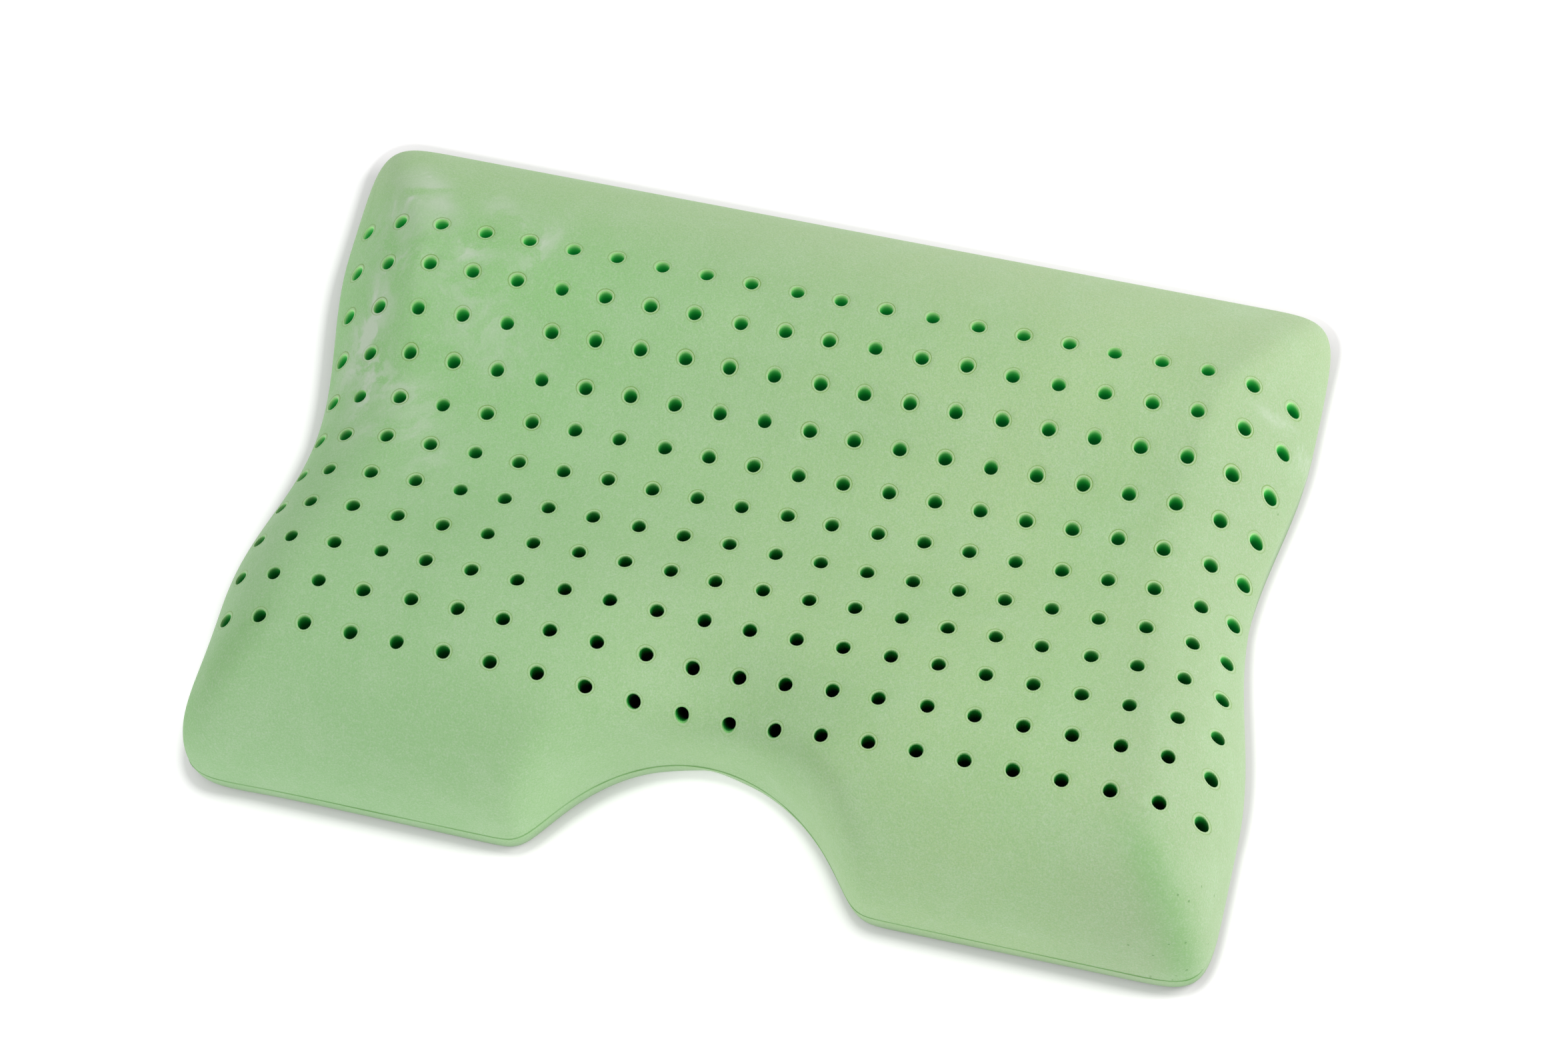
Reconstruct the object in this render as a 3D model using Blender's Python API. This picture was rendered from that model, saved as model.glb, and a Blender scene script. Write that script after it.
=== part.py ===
"""Contour pillow of moulded latex foam, for Blender 4.5. Metres, +Z up.

One bare foam block: a high front lobe, a valley and a lower rear lobe across its depth, ends that
draw in at the valley, a round neck notch in the front edge, and a grid of vent holes that run
straight down to a flat base. The origin is on the base, under the middle of the pillow. +X runs
along its length and -Y is the side of the notch.
"""
import math

import bpy
import numpy as np

# Outside sizes
FRONT_LENGTH = 0.600
REAR_LENGTH = 0.592
DEPTH = 0.416
FRONT_LOBE_HEIGHT = 0.120
REAR_LOBE_HEIGHT = 0.090
VALLEY_HEIGHT = 0.0765

# Where the lobes and the valley run, measured along Y
FRONT_LOBE_Y = -0.132
VALLEY_Y = 0.027
REAR_LOBE_Y = 0.110

# The ends draw in by this much at the valley
WAIST_INSET = 0.0166
WAIST_Y = 0.005
WAIST_REACH = 0.124
END_TAPER_REACH = 0.100

# Round neck notch in the front edge, and the dip of the front lobe towards it
NOTCH_RADIUS = 0.100
NOTCH_DEPTH = 0.063
DIP_DEPTH = 0.024
DIP_HALF_WIDTH = 0.068
DIP_START_Y = -0.130
DIP_REACH = 0.042

# How far in from each edge the top starts to round over, and how square the corners stay
END_ROUNDING = 0.060
FRONT_ROUNDING = 0.075
REAR_ROUNDING = 0.085
NOTCH_ROUNDING = 0.028
CORNER_POWER = 6.0

# The shoulders are full at the front, like an ellipse, flatter towards the rear, and fullest at the
# notch, where the top stays nearly level close up to the wall
FRONT_FULLNESS = 2.0
REAR_FULLNESS = 1.4
FULLNESS_REACH = 0.100
NOTCH_FULLNESS_GAIN = 1.8

# The mould seam runs round the widest outline, close to the base. In the notch it rises, and the
# foam below it turns in further
SEAM_HEIGHT = 0.025
BASE_INSET = 0.006
NOTCH_SEAM_RISE = 0.018
NOTCH_UNDERCUT = 0.011
NOTCH_HALF_WIDTH = 0.065
NOTCH_REACH = 0.060

# Vent holes
HOLE_COLUMNS = 22
HOLE_ROWS = 11
HOLE_PITCH = 0.0270
HOLE_GRID_Y = -0.001
HOLE_RADIUS = 0.0040
HOLE_SIDES = 8
WAIST_PULL = 0.013
END_HOLE_INSET = 0.003
END_HOLE_WAIST_INSET = 0.004

# The holes nearest the notch lean back on their way down, to stay clear of its undercut
NOTCH_HOLE_LEAN = 0.0150
NOTCH_HOLE_REACH = 0.019
NOTCH_RIM_LEAN = 0.0175

# Mesh of the foam between the outermost holes and the outline
FRONT_MARGIN = 0.0062
REAR_MARGIN = 0.0120
END_MARGIN = 0.0060
NOTCH_CELLS = 10
STEPS_PER_CELL = 2
SHOULDER_RINGS = 5
FOOT_RINGS = 3
OUTLINE_SAMPLES = 7200
NEAREST_OUTLINE = 0.100
HALVINGS = 40
SHARP_ANGLE = 40

FOAM_COLOUR = (0.37, 0.60, 0.29, 1.0)
FOAM_ROUGHNESS = 0.75

FRONT_Y = -DEPTH / 2
REAR_Y = DEPTH / 2
NOTCH_BACK_Y = FRONT_Y + NOTCH_DEPTH
NOTCH_CENTRE_Y = NOTCH_BACK_Y - NOTCH_RADIUS
NOTCH_HALF_MOUTH = (NOTCH_RADIUS ** 2 - (NOTCH_RADIUS - NOTCH_DEPTH) ** 2) ** 0.5


def smooth_bump(distance, reach):
    """Give 1 at distance 0, falling as a squared cosine to 0 at the reach and beyond."""
    return np.cos(np.clip(np.abs(distance) / reach, 0.0, 1.0) * np.pi / 2) ** 2


def ease(t):
    """Go from 0 to 1 along half a cosine wave, level at both ends."""
    return 0.5 - 0.5 * np.cos(np.pi * np.clip(t, 0.0, 1.0))


def half_length(y):
    """Give half the pillow's length at y: the front and rear lengths, less the waist."""
    towards_rear = ease((y + END_TAPER_REACH) / (2 * END_TAPER_REACH))
    straight = (FRONT_LENGTH * (1 - towards_rear) + REAR_LENGTH * towards_rear) / 2
    return straight - WAIST_INSET * smooth_bump(y - WAIST_Y, WAIST_REACH)


def crown_height(x, y):
    """Give the height of the top before its edges round over: lobe, valley, lobe, and the neck dip."""
    front = (FRONT_LOBE_HEIGHT - VALLEY_HEIGHT) * ease((VALLEY_Y - y) / (VALLEY_Y - FRONT_LOBE_Y))
    rear = (REAR_LOBE_HEIGHT - VALLEY_HEIGHT) * ease((y - VALLEY_Y) / (REAR_LOBE_Y - VALLEY_Y))
    behind_dip = np.maximum(y - DIP_START_Y, 0.0) / DIP_REACH
    dip = DIP_DEPTH * np.exp(-(x / DIP_HALF_WIDTH) ** 2 - behind_dip ** 2)
    return VALLEY_HEIGHT + front + rear - dip


def notch_nearness(x, y, reach):
    """Give 1 at the deepest point of the notch, falling as a bell curve away from it."""
    return np.exp(-(x / NOTCH_HALF_WIDTH) ** 2 - ((y - NOTCH_BACK_Y) / reach) ** 2)


def seam_height(x, y):
    """Give the height of the mould seam, which rises where the outline turns into the notch."""
    return SEAM_HEIGHT + NOTCH_SEAM_RISE * notch_nearness(x, y, NOTCH_REACH)


def edge_closeness(x, y):
    """Give 0 on the open top and 1 on the outline, joined over the edges with soft corners."""
    gaps = (
        (half_length(y) - np.abs(x), END_ROUNDING),
        (y - FRONT_Y, FRONT_ROUNDING),
        (REAR_Y - y, REAR_ROUNDING),
        (np.hypot(x, y - NOTCH_CENTRE_Y) - NOTCH_RADIUS, NOTCH_ROUNDING),
    )
    total = sum(np.clip(1 - gap / rounding, 0.0, None) ** CORNER_POWER for gap, rounding in gaps)
    return total ** (1 / CORNER_POWER)


def top_height(x, y):
    """Give the height of the top: a quarter of a rounded arch, from the crown to the seam."""
    seam = seam_height(x, y)
    towards_rear = ease((y + FULLNESS_REACH) / (2 * FULLNESS_REACH))
    fullness = FRONT_FULLNESS * (1 - towards_rear) + REAR_FULLNESS * towards_rear
    fullness += NOTCH_FULLNESS_GAIN * notch_nearness(x, y, NOTCH_REACH)
    closeness = np.clip(edge_closeness(x, y), 0.0, 1.0)
    return seam + (crown_height(x, y) - seam) * (1 - closeness ** fullness) ** (1 / fullness)


def hole_centres():
    """Give the holes' x and y, as two arrays of columns by rows."""
    column = np.arange(HOLE_COLUMNS) - (HOLE_COLUMNS - 1) / 2
    row = np.arange(HOLE_ROWS) - (HOLE_ROWS - 1) / 2
    column, row = np.meshgrid(column, row, indexing="ij")
    y = row * HOLE_PITCH + HOLE_GRID_Y
    waist = smooth_bump(y - WAIST_Y, WAIST_REACH)
    x = column * HOLE_PITCH * (1 - WAIST_PULL * waist)
    at_end = np.abs(column) == (HOLE_COLUMNS - 1) / 2
    x -= np.sign(x) * at_end * (END_HOLE_INSET + END_HOLE_WAIST_INSET * waist)
    return x, y


def cell_corners():
    """Give the x and y of the corners of the cells round the holes, one more each way than holes."""
    column = np.arange(HOLE_COLUMNS + 1) - HOLE_COLUMNS / 2
    row = np.arange(HOLE_ROWS + 1) - HOLE_ROWS / 2
    column, row = np.meshgrid(column, row, indexing="ij")
    last_row = (HOLE_ROWS - 1) / 2 * HOLE_PITCH
    y = row * HOLE_PITCH + HOLE_GRID_Y
    y[:, 0] = HOLE_GRID_Y - last_row - FRONT_MARGIN
    y[:, -1] = HOLE_GRID_Y + last_row + REAR_MARGIN
    waist = smooth_bump(y - WAIST_Y, WAIST_REACH)
    x = column * HOLE_PITCH * (1 - WAIST_PULL * waist)
    end_hole = (HOLE_COLUMNS - 1) / 2 * HOLE_PITCH * (1 - WAIST_PULL * waist)
    end = end_hole - END_HOLE_INSET - END_HOLE_WAIST_INSET * waist + END_MARGIN
    x[0] = -end[0]
    x[-1] = end[-1]
    return x, y


def halve(inside, low, high):
    """Narrow low and high, as arrays, down to where inside(value) turns from true to false."""
    for _ in range(HALVINGS):
        middle = (low + high) / 2
        still_inside = inside(middle)
        low = np.where(still_inside, middle, low)
        high = np.where(still_inside, high, middle)
    return low


def trace_outline():
    """Give points all the way round the widest outline, seen from the origin, and their angles."""
    angle = np.linspace(-np.pi, np.pi, OUTLINE_SAMPLES + 1)
    along_x = np.cos(angle)
    along_y = np.sin(angle)
    near = np.full_like(angle, NEAREST_OUTLINE)
    far = np.full_like(angle, FRONT_LENGTH)
    reach = halve(lambda r: edge_closeness(r * along_x, r * along_y) < 1, near, far)
    return np.stack([reach * along_x, reach * along_y], axis=1), angle


def rim_of(grid):
    """Give the border of a grid of points, anticlockwise from its front left corner."""
    return np.concatenate([grid[:-1, 0], grid[-1, :-1], grid[:0:-1, -1], grid[0, :0:-1]])


def with_midpoints(loop):
    """Give a closed loop of points with the middle of each of its sides put in."""
    middle = (loop + np.roll(loop, -1, axis=0)) / 2
    return np.stack([loop, middle], axis=1).reshape(-1, loop.shape[1])


def outline_for(rim):
    """Give the outline point that each rim point runs out to.

    The rim's corners meet the outline's corners, the rim points beside the notch meet the corners
    of its mouth, and between these the points are spread evenly along the outline.
    """
    outline, angle = trace_outline()
    steps = np.linalg.norm(np.diff(outline, axis=0), axis=1)
    length = np.concatenate([[0.0], np.cumsum(steps)])
    half_front = FRONT_LENGTH / 2
    half_rear = REAR_LENGTH / 2
    ear_cells = (HOLE_COLUMNS - NOTCH_CELLS) // 2
    stretches = (
        (ear_cells, (-half_front, FRONT_Y)),
        (NOTCH_CELLS, (-NOTCH_HALF_MOUTH, FRONT_Y)),
        (ear_cells, (NOTCH_HALF_MOUTH, FRONT_Y)),
        (HOLE_ROWS, (half_front, FRONT_Y)),
        (HOLE_COLUMNS, (half_rear, REAR_Y)),
        (HOLE_ROWS, (-half_rear, REAR_Y)),
    )
    starts = np.array([np.interp(np.arctan2(y, x), angle, length) for _, (x, y) in stretches])
    ends = np.roll(starts, -1)
    ends = np.where(ends < starts, ends + length[-1], ends)
    places = []
    for (cells, _), start, end in zip(stretches, starts, ends):
        count = cells * STEPS_PER_CELL
        places.append(start + (end - start) * np.arange(count) / count)
    place = np.concatenate(places) % length[-1]
    if len(place) != len(rim):
        raise ValueError("the outline and the rim need as many points as each other")
    return np.stack([np.interp(place, length, outline[:, axis]) for axis in (0, 1)], axis=1)


def shoulder_rings(rim, outline):
    """Give the rings of points between the rim and the outline, ending on the outline at the seam.

    Each ring stands at an even share of the quarter turn that the top makes over the edge.
    """
    start_turn = np.arcsin(edge_closeness(rim[:, 0], rim[:, 1]))
    rings = []
    for step in range(1, SHOULDER_RINGS + 1):
        turn = start_turn + (np.pi / 2 - start_turn) * step / SHOULDER_RINGS
        share = np.ones(len(rim))
        if step < SHOULDER_RINGS:
            def not_there(t):
                place = rim + (outline - rim) * t[:, None]
                return edge_closeness(place[:, 0], place[:, 1]) < np.sin(turn)
            share = halve(not_there, np.zeros(len(rim)), np.ones(len(rim)))
        place = rim + (outline - rim) * share[:, None]
        height = top_height(place[:, 0], place[:, 1])
        if step == SHOULDER_RINGS:
            height = seam_height(place[:, 0], place[:, 1])
        rings.append(np.column_stack([place, height]))
    return rings


def foot_rings(rim, outline):
    """Give the rings from the seam down to the base, which turn in by the base inset."""
    inwards = rim - outline
    inwards /= np.linalg.norm(inwards, axis=1)[:, None]
    seam = seam_height(outline[:, 0], outline[:, 1])
    inset = BASE_INSET + NOTCH_UNDERCUT * notch_nearness(outline[:, 0], outline[:, 1], NOTCH_REACH)
    rings = []
    for step in range(1, FOOT_RINGS + 1):
        turn = np.pi / 2 * step / FOOT_RINGS
        place = outline + inwards * (inset * (1 - np.cos(turn)))[:, None]
        rings.append(np.column_stack([place, seam * (1 - np.sin(turn))]))
    return rings


class FoamMesh:
    """Points and faces of the foam block, gathered one set at a time."""

    def __init__(self):
        self.points = []
        self.faces = []
        self.count = 0

    def add_points(self, points):
        """Add an array of points and give their numbers, in the same layout."""
        shape = points.shape[:-1]
        total = int(np.prod(shape))
        self.points.append(points.reshape(total, 3))
        numbers = np.arange(self.count, self.count + total).reshape(shape)
        self.count += total
        return numbers

    def add_band(self, upper, lower):
        """Add the faces between two closed loops, both anticlockwise, seen from outside."""
        self.faces += zip(upper, lower, np.roll(lower, -1), np.roll(upper, -1))

    def add_cell(self, corners, middles, ring, upward):
        """Add the faces between a hole's ring and the cell round it.

        corners are the cell's four corner numbers, anticlockwise from the front left. middles holds
        the extra point on each side, or None. ring is the hole's points, anticlockwise from +X.
        """
        quarter = HOLE_SIDES // 4
        for side in range(4):
            first = (5 + 2 * side) * HOLE_SIDES // 8
            corner = corners[side]
            following = corners[(side + 1) % 4]
            faces = []
            for step in range(-(quarter // 2), quarter - quarter // 2):
                faces.append((corner, ring[(first + step + 1) % HOLE_SIDES], ring[(first + step) % HOLE_SIDES]))
            facing = ring[(first + quarter - quarter // 2) % HOLE_SIDES]
            if middles[side] is None:
                faces.append((corner, following, facing))
            else:
                faces.append((corner, middles[side], facing))
                faces.append((middles[side], following, facing))
            self.faces += faces if upward else [face[::-1] for face in faces]

    def make_object(self, name, material):
        """Give a mesh object of all that was added."""
        mesh = bpy.data.meshes.new(name)
        mesh.from_pydata(np.concatenate(self.points).tolist(), [], [[int(i) for i in f] for f in self.faces])
        mesh.materials.append(material)
        mesh.validate()
        mesh.shade_smooth()
        mesh.set_sharp_from_angle(angle=math.radians(SHARP_ANGLE))
        return bpy.data.objects.new(name, mesh)


def side_middles(i, j, middle_numbers):
    """Give the extra point on each side of cell i, j: one where the side lies on the rim."""
    front = i
    right = HOLE_COLUMNS + j
    rear = HOLE_COLUMNS + HOLE_ROWS + (HOLE_COLUMNS - 1 - i)
    left = 2 * HOLE_COLUMNS + HOLE_ROWS + (HOLE_ROWS - 1 - j)
    return (
        middle_numbers[front] if j == 0 else None,
        middle_numbers[right] if i == HOLE_COLUMNS - 1 else None,
        middle_numbers[rear] if j == HOLE_ROWS - 1 else None,
        middle_numbers[left] if i == 0 else None,
    )


def add_sheet(foam, corner_x, corner_y, hole_x, hole_y, height_at, upward):
    """Add the top or the base with its hole edges, and give the numbers of its rim and its holes."""
    corners = np.stack([corner_x, corner_y, height_at(corner_x, corner_y)], axis=-1)
    corner_numbers = foam.add_points(corners)
    loop = with_midpoints(rim_of(corners))
    loop[:, 2] = height_at(loop[:, 0], loop[:, 1])
    middle_numbers = foam.add_points(loop[1::STEPS_PER_CELL])
    turn = np.arange(HOLE_SIDES) * 2 * np.pi / HOLE_SIDES
    ring_x = hole_x[..., None] + HOLE_RADIUS * np.cos(turn)
    ring_y = hole_y[..., None] + HOLE_RADIUS * np.sin(turn)
    ring_numbers = foam.add_points(np.stack([ring_x, ring_y, height_at(ring_x, ring_y)], axis=-1))
    for i in range(HOLE_COLUMNS):
        for j in range(HOLE_ROWS):
            around = (corner_numbers[i, j], corner_numbers[i + 1, j],
                      corner_numbers[i + 1, j + 1], corner_numbers[i, j + 1])
            foam.add_cell(around, side_middles(i, j, middle_numbers), ring_numbers[i, j], upward)
    rim_corners = rim_of(corner_numbers[..., None])[:, 0]
    rim_numbers = np.stack([rim_corners, middle_numbers], axis=1).ravel()
    return rim_numbers, ring_numbers


def build_foam(material):
    """Build the foam block: pierced top and base, the rounded edge between them, and the bores."""
    foam = FoamMesh()
    corner_x, corner_y = cell_corners()
    hole_x, hole_y = hole_centres()
    top_rim, top_holes = add_sheet(foam, corner_x, corner_y, hole_x, hole_y, top_height, True)
    base_corner_y = corner_y.copy()
    base_corner_y[:, 0] += NOTCH_RIM_LEAN * notch_nearness(corner_x[:, 0], NOTCH_BACK_Y, NOTCH_REACH)
    front_row_y = hole_y[0, 0]
    lean = NOTCH_HOLE_LEAN * notch_nearness(hole_x, hole_y - front_row_y + NOTCH_BACK_Y, NOTCH_HOLE_REACH)
    base_rim, base_holes = add_sheet(
        foam, corner_x, base_corner_y, hole_x, hole_y + lean, lambda x, y: np.zeros_like(x), False)
    rim = with_midpoints(rim_of(np.stack([corner_x, corner_y], axis=-1)))
    outline = outline_for(rim)
    rings = shoulder_rings(rim, outline) + foot_rings(rim, outline)
    numbers = [top_rim] + [foam.add_points(ring) for ring in rings] + [base_rim]
    for upper, lower in zip(numbers, numbers[1:]):
        foam.add_band(upper, lower)
    for upper, lower in zip(top_holes.reshape(-1, HOLE_SIDES), base_holes.reshape(-1, HOLE_SIDES)):
        foam.add_band(lower, upper)
    return foam.make_object("foam_pillow", material)


def latex_foam():
    """Make the pale green latex foam material."""
    material = bpy.data.materials.new("latex_foam")
    material.use_nodes = True
    shader = material.node_tree.nodes["Principled BSDF"]
    shader.inputs["Base Color"].default_value = FOAM_COLOUR
    shader.inputs["Roughness"].default_value = FOAM_ROUGHNESS
    shader.inputs["Metallic"].default_value = 0.0
    return material


def main():
    """Clear the scene and build the pillow in its own collection."""
    for old in list(bpy.data.objects):
        bpy.data.objects.remove(old, do_unlink=True)
    collection = bpy.data.collections.new("contour_pillow")
    bpy.context.scene.collection.children.link(collection)
    collection.objects.link(build_foam(latex_foam()))


main()
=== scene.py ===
"""Looks of a bare moulded latex foam contour pillow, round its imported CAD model.

Metres, +Z up. The pillow lies on its flat base, X runs along its length and -Y is the side of the
neck notch. One closed skin stands for the CAD node: the pierced top, the rounded shoulders, the
mould seam with its flash line, the foot, the base and the vent holes.
"""
from __future__ import annotations

import logging
import math
from dataclasses import dataclass, field
from enum import Enum
from typing import Any, Callable

import bpy
import numpy as np
from mathutils import Matrix, Vector

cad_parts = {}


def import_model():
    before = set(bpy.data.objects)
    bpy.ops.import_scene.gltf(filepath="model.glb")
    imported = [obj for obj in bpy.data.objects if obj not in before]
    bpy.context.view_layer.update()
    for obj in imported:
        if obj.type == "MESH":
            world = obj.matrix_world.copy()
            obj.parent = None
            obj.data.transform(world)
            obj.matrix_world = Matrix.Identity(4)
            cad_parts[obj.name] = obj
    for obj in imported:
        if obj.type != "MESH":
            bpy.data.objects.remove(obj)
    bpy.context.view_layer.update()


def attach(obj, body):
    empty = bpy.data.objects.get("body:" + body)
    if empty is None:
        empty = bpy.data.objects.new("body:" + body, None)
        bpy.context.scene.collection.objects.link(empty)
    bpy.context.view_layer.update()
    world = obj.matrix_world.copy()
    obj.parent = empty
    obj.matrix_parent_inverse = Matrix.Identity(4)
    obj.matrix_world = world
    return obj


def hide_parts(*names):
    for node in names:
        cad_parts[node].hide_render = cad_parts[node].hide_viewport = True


LOG = logging.getLogger("foam_pillow")
SENSOR_WIDTH = 36.0
MM = 0.001
SEED = 48
SKIN_MARKS = (
    "pour_zone", "painted_fold_shade", "pit_zone", "ring_mark", "painted_lip_highlight", "seam_mark", "foot", "bore", "thin_foam")

Array = np.ndarray
Colour = tuple[float, float, float, float]
Out = bpy.types.NodeSocket


def smooth_bump(distance: Array, reach: float) -> Array:
    """Give 1 at distance 0, falling as a squared cosine to 0 at the reach and beyond."""
    return np.cos(np.clip(np.abs(distance) / reach, 0.0, 1.0) * np.pi / 2) ** 2


def ease(t: Array) -> Array:
    """Go from 0 to 1 along half a cosine wave, level at both ends."""
    return 0.5 - 0.5 * np.cos(np.pi * np.clip(t, 0.0, 1.0))


def halve(inside: Callable[[Array], Array], low: Array, high: Array, times: int = 36) -> Array:
    """Narrow low and high, as arrays, down to where inside(value) turns from true to false."""
    for _ in range(times):
        middle = (low + high) / 2
        still_inside = inside(middle)
        low = np.where(still_inside, middle, low)
        high = np.where(still_inside, high, middle)
    return low


def outward_of(outline: Array) -> Array:
    """Give each point's level direction out of a closed anticlockwise outline."""
    tangent = np.roll(outline, -1, axis=0) - np.roll(outline, 1, axis=0)
    outward = np.stack([tangent[:, 1], -tangent[:, 0]], axis=1)
    return outward / np.linalg.norm(outward, axis=1)[:, None]


def bell(distance: Array, reach: float) -> Array:
    """Give 1 at distance 0, falling as a bell curve to a third of that at the reach."""
    return np.exp(-(distance / reach) ** 2)


@dataclass(frozen=True)
class PillowForm:
    """Outer form of the pillow as formulas of x and y: the CAD model's, but for a lower notch seam."""

    front_length: float = 0.600
    rear_length: float = 0.592
    depth: float = 0.416
    front_lobe_height: float = 0.120
    rear_lobe_height: float = 0.090
    valley_height: float = 0.0765
    front_lobe_y: float = -0.132
    valley_y: float = 0.027
    rear_lobe_y: float = 0.110
    waist_inset: float = 0.0166
    waist_y: float = 0.005
    waist_reach: float = 0.124
    end_taper_reach: float = 0.100
    notch_radius: float = 0.100
    notch_depth: float = 0.063
    dip_depth: float = 0.024
    dip_half_width: float = 0.068
    dip_start_y: float = -0.130
    dip_reach: float = 0.042
    end_rounding: float = 0.060
    front_rounding: float = 0.075
    rear_rounding: float = 0.085
    notch_rounding: float = 0.028
    corner_power: float = 6.0
    front_fullness: float = 2.0
    rear_fullness: float = 1.4
    fullness_reach: float = 0.100
    notch_fullness_gain: float = 1.8
    seam: float = 0.025
    base_inset: float = 0.006
    notch_seam_rise: float = 0.012
    notch_undercut: float = 0.011
    notch_half_width: float = 0.065
    notch_reach: float = 0.060

    @property
    def front_y(self) -> float:
        """Give the y of the front edge."""
        return -self.depth / 2

    @property
    def rear_y(self) -> float:
        """Give the y of the rear edge."""
        return self.depth / 2

    @property
    def notch_back_y(self) -> float:
        """Give the y of the deepest point of the neck notch."""
        return self.front_y + self.notch_depth

    @property
    def notch_half_mouth(self) -> float:
        """Give half the width of the notch where it meets the front edge."""
        return (self.notch_radius ** 2 - (self.notch_radius - self.notch_depth) ** 2) ** 0.5

    def half_length(self, y: Array) -> Array:
        """Give half the length at y: the front and rear lengths, less the waist."""
        towards_rear = ease((y + self.end_taper_reach) / (2 * self.end_taper_reach))
        straight = (self.front_length * (1 - towards_rear) + self.rear_length * towards_rear) / 2
        return straight - self.waist_inset * smooth_bump(y - self.waist_y, self.waist_reach)

    def crown(self, x: Array, y: Array) -> Array:
        """Give the height of the top before its edges round over: lobe, valley, lobe and neck dip."""
        front = self.front_lobe_height - self.valley_height
        rear = self.rear_lobe_height - self.valley_height
        to_front = ease((self.valley_y - y) / (self.valley_y - self.front_lobe_y))
        to_rear = ease((y - self.valley_y) / (self.rear_lobe_y - self.valley_y))
        behind_dip = np.maximum(y - self.dip_start_y, 0.0) / self.dip_reach
        dip = self.dip_depth * np.exp(-(x / self.dip_half_width) ** 2 - behind_dip ** 2)
        return self.valley_height + front * to_front + rear * to_rear - dip

    def notch_nearness(self, x: Array, y: Array, reach: float) -> Array:
        """Give 1 at the deepest point of the notch, falling as a bell curve away from it."""
        across = x / self.notch_half_width
        along = (y - self.notch_back_y) / reach
        return np.exp(-across ** 2 - along ** 2)

    def seam_height(self, x: Array, y: Array) -> Array:
        """Give the height of the mould seam, which rises where the outline turns into the notch."""
        return self.seam + self.notch_seam_rise * self.notch_nearness(x, y, self.notch_reach)

    def closeness(self, x: Array, y: Array) -> Array:
        """Give 0 on the open top and 1 on the outline, joined over the edges with soft corners."""
        notch_centre = self.notch_back_y - self.notch_radius
        gaps = (
            (self.half_length(y) - np.abs(x), self.end_rounding),
            (y - self.front_y, self.front_rounding),
            (self.rear_y - y, self.rear_rounding),
            (np.hypot(x, y - notch_centre) - self.notch_radius, self.notch_rounding),
        )
        power = self.corner_power
        total = sum(np.clip(1 - gap / rounding, 0.0, None) ** power for gap, rounding in gaps)
        return total ** (1 / power)

    def top(self, x: Array, y: Array) -> Array:
        """Give the height of the top: a quarter of a rounded arch, from the crown to the seam."""
        seam = self.seam_height(x, y)
        towards_rear = ease((y + self.fullness_reach) / (2 * self.fullness_reach))
        fullness = self.front_fullness * (1 - towards_rear) + self.rear_fullness * towards_rear
        fullness = fullness + self.notch_fullness_gain * self.notch_nearness(x, y, self.notch_reach)
        near = np.clip(self.closeness(x, y), 0.0, 1.0)
        return seam + (self.crown(x, y) - seam) * (1 - near ** fullness) ** (1 / fullness)

    def outline(self, samples: int = 7200) -> tuple[Array, Array]:
        """Trace the widest outline as seen from the origin.

        Args:
            samples: how many directions are followed.

        Returns:
            The outline's points, and the direction of each as an angle.
        """
        angle = np.linspace(-np.pi, np.pi, samples + 1)
        along_x, along_y = np.cos(angle), np.sin(angle)
        near = np.full_like(angle, self.depth / 4)
        far = np.full_like(angle, self.front_length)
        reach = halve(lambda r: self.closeness(r * along_x, r * along_y) < 1, near, far)
        return np.stack([reach * along_x, reach * along_y], axis=1), angle


@dataclass(frozen=True)
class VentGrid:
    """Grid of vent holes: its pitch, how it follows the waist, and the hole's own sizes."""

    columns: int = 22
    rows: int = 11
    pitch: float = 0.0270
    shift_y: float = -0.001
    waist_pull: float = 0.013
    end_inset: float = 0.003
    end_waist_inset: float = 0.004
    front_margin: float = 0.0062
    rear_margin: float = 0.0120
    end_margin: float = 0.0060
    notch_cells: int = 10
    notch_lean: float = 0.0150
    notch_lean_reach: float = 0.030
    notch_rim_lean: float = 0.0175

    def centres(self, form: PillowForm) -> tuple[Array, Array]:
        """Give the holes' x and y, as two arrays of columns by rows."""
        last = (self.columns - 1) / 2
        column, row = np.meshgrid(
            np.arange(self.columns) - last, np.arange(self.rows) - (self.rows - 1) / 2, indexing="ij")
        y = row * self.pitch + self.shift_y
        waist = smooth_bump(y - form.waist_y, form.waist_reach)
        x = column * self.pitch * (1 - self.waist_pull * waist)
        at_end = np.abs(column) == last
        x -= np.sign(x) * at_end * (self.end_inset + self.end_waist_inset * waist)
        return x, y

    def corners(self, form: PillowForm) -> tuple[Array, Array]:
        """Give the x and y of the corners of the cells round the holes, one more each way."""
        column, row = np.meshgrid(
            np.arange(self.columns + 1) - self.columns / 2,
            np.arange(self.rows + 1) - self.rows / 2, indexing="ij")
        last_row = (self.rows - 1) / 2 * self.pitch
        y = row * self.pitch + self.shift_y
        y[:, 0] = self.shift_y - last_row - self.front_margin
        y[:, -1] = self.shift_y + last_row + self.rear_margin
        waist = smooth_bump(y - form.waist_y, form.waist_reach)
        x = column * self.pitch * (1 - self.waist_pull * waist)
        end_hole = (self.columns - 1) / 2 * self.pitch * (1 - self.waist_pull * waist)
        end = end_hole - self.end_inset - self.end_waist_inset * waist + self.end_margin
        x[0], x[-1] = -end[0], end[-1]
        return x, y


@dataclass(frozen=True)
class LipRing:
    """One ring round a hole: its radius, how deep it lies below the skin, and its marks."""

    radius: float
    drop: float
    mark: float = 0.0
    # pale: how strongly the painted highlight on the lip shows
    pale: float = 0.0
    in_bore: bool = False


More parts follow.
